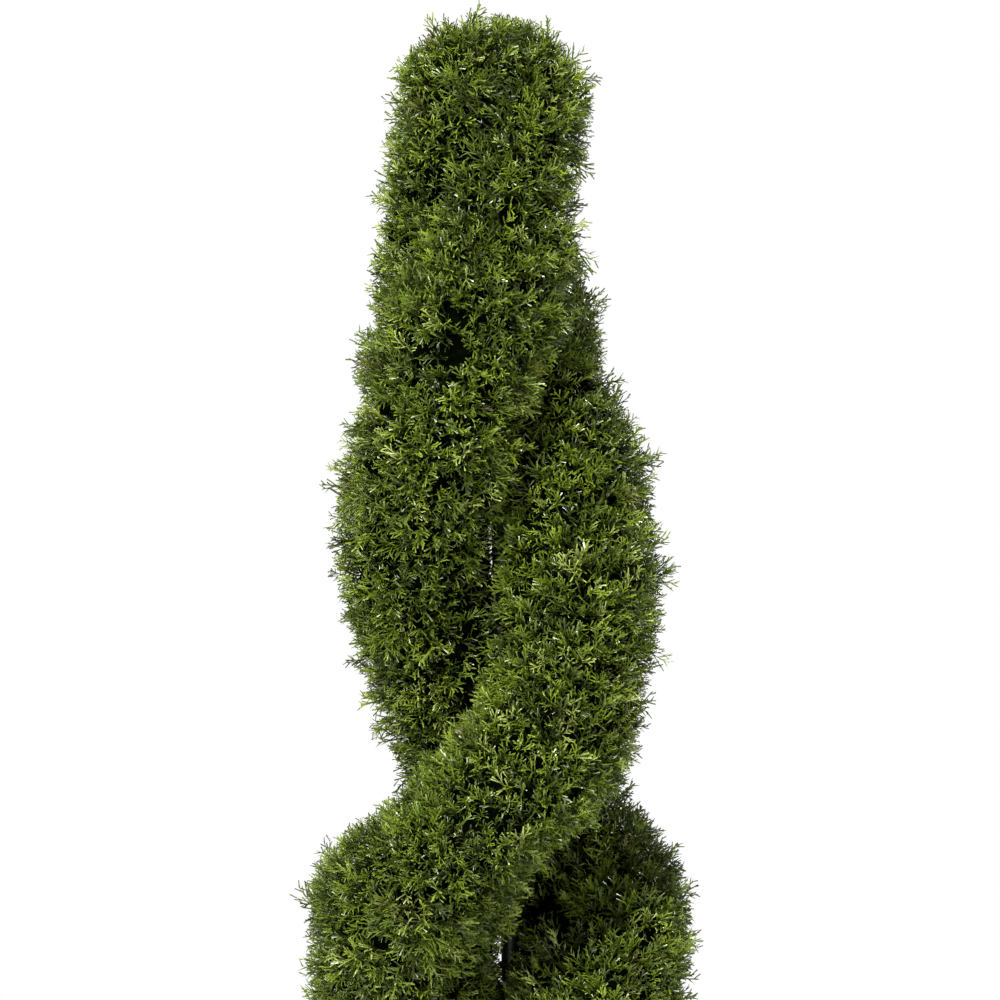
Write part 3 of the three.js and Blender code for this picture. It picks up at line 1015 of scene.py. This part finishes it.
potMaterial = grainMaterial(
    name="potPlastic",
    dark=(0.010, 0.010, 0.010),
    light=(0.020, 0.020, 0.019),
    rough=(0.38, 0.58),
    scale=1400,
    broadScale=24,
    broadShare=0.35,
    relief=0.22,
    depth=0.3 * mm,
)
fillingMaterial = grainMaterial(
    name="castFilling",
    dark=(0.030, 0.026, 0.021),
    light=(0.115, 0.100, 0.082),
    rough=(0.80, 0.97),
    scale=420,
    broadScale=70,
    broadShare=0.4,
    relief=0.6,
    depth=1.5 * mm,
)
potShell = makePiece("potShell", *makePot(), potMaterial)
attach(potShell, "root")
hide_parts("pot")
castFilling = makePiece("castFilling", *makeFilling(), fillingMaterial)
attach(castFilling, "root")
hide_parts("filling")
print("pot and filling ready")


# studio

studio = {
    "floorRadius": 4.2,
    "floorSides": 96,
    "floorDrop": 0.5 * mm,  # keeps the floor just clear of the pot's underside
    "floorFade": (0.35, 1.7),  # distances over which the floor fades to white
    "skyStrength": 0.06,
    "cameraDistance": 6.0,
    "frameWidth": 1.0,  # metres seen across the frame at the object
    "cameraHeight": 1.015,
    "cameraSide": -0.020,
}

# power, size, place and what each lamp looks at
lamps = {
    "keyLight": (650, 0.9, (-2.1, -3.8, 4.5), (0, 0, 1.0)),
    "fillLight": (62, 2.4, (3.0, -3.4, 1.4), (0, 0, 0.8)),
    "backLight": (450, 1.6, (3.4, 5.2, 4.2), (0, 0, 0.8)),
    "sideLight": (110, 1.6, (-5.0, 2.6, 2.6), (0, 0, 0.8)),
}


# a pale floor with a soft shadow near the plant, which fades to the white surround further out:
# fade = camera ray * smooth step of the distance from the middle
def fadingFloor():
    material = plainMaterial("studioFloor", (0.86, 0.86, 0.86), 0.7)
    tree = material.node_tree
    place = addNode(tree, "ShaderNodeTexCoord")
    distance = addNode(tree, "ShaderNodeVectorMath", operation="LENGTH")
    fade = addNode(tree, "ShaderNodeMapRange", interpolation_type="SMOOTHSTEP")
    fade.inputs["From Min"].default_value = studio["floorFade"][0]
    fade.inputs["From Max"].default_value = studio["floorFade"][1]
    ray = addNode(tree, "ShaderNodeLightPath")
    share = addNode(tree, "ShaderNodeMath", operation="MULTIPLY")
    glow = addNode(tree, "ShaderNodeEmission")
    blend = addNode(tree, "ShaderNodeMixShader")
    tree.links.new(place.outputs["Object"], distance.inputs[0])
    tree.links.new(distance.outputs["Value"], fade.inputs["Value"])
    tree.links.new(fade.outputs["Result"], share.inputs[0])
    tree.links.new(ray.outputs["Is Camera Ray"], share.inputs[1])
    tree.links.new(share.outputs["Value"], blend.inputs["Fac"])
    tree.links.new(tree.nodes["Principled BSDF"].outputs["BSDF"], blend.inputs[1])
    tree.links.new(glow.outputs["Emission"], blend.inputs[2])
    tree.links.new(blend.outputs["Shader"], tree.nodes["Material Output"].inputs["Surface"])
    return material


# a disc of triangles from its middle, a little under the pot
def makeFloor():
    count = studio["floorSides"]
    angle = np.arange(count) * fullTurn / count
    rim = np.stack([np.cos(angle), np.sin(angle), 0 * angle], -1) * studio["floorRadius"]
    points = np.concatenate([rim, [[0, 0, 0]]]) - upward * studio["floorDrop"]
    k = np.arange(count)
    return points, np.stack([np.full(count, count), k, (k + 1) % count], -1)


# a white surround that only the camera sees, and a faint even light from it for everything else
def makeSurround():
    world = bpy.data.worlds.new("studioWorld")
    scene.world = world
    world.use_nodes = True
    tree = world.node_tree
    tree.nodes.clear()
    sky, white = addNode(tree, "ShaderNodeBackground"), addNode(tree, "ShaderNodeBackground")
    sky.inputs["Color"].default_value = white.inputs["Color"].default_value = (1, 1, 1, 1)
    sky.inputs["Strength"].default_value = studio["skyStrength"]
    ray = addNode(tree, "ShaderNodeLightPath")
    pick = addNode(tree, "ShaderNodeMixShader")
    sink = addNode(tree, "ShaderNodeOutputWorld")
    tree.links.new(ray.outputs["Is Camera Ray"], pick.inputs["Fac"])
    tree.links.new(sky.outputs["Background"], pick.inputs[1])
    tree.links.new(white.outputs["Background"], pick.inputs[2])
    tree.links.new(pick.outputs["Shader"], sink.inputs["Surface"])


# a round area lamp turned to look at a point
def addLight(name, power, size, place, aim):
    data = bpy.data.lights.new(name, "AREA")
    data.energy = power
    data.shape = "DISK"
    data.size = size
    lamp = bpy.data.objects.new(name, data)
    lamp.location = place
    lamp.rotation_mode = "QUATERNION"
    lamp.rotation_quaternion = (Vector(aim) - Vector(place)).to_track_quat("-Z", "Y")
    scene.collection.objects.link(lamp)


# a level camera in front, lens = sensor * distance / width seen
def addCamera():
    data = bpy.data.cameras.new("studioCamera")
    data.sensor_width = 36
    data.lens = data.sensor_width * studio["cameraDistance"] / studio["frameWidth"]
    data.clip_end = 60
    camera = bpy.data.objects.new("studioCamera", data)
    camera.location = (studio["cameraSide"], -studio["cameraDistance"], studio["cameraHeight"])
    camera.rotation_euler = (math.pi / 2, 0, 0)
    scene.collection.objects.link(camera)
    scene.camera = camera


studioFloor = makePiece("studioFloor", *makeFloor(), fadingFloor(), smooth=False)
makeSurround()
for name, values in lamps.items():
    addLight(name, *values)
addCamera()
scene.view_settings.view_transform = "Standard"
scene.view_settings.look = "None"
print("studio ready")
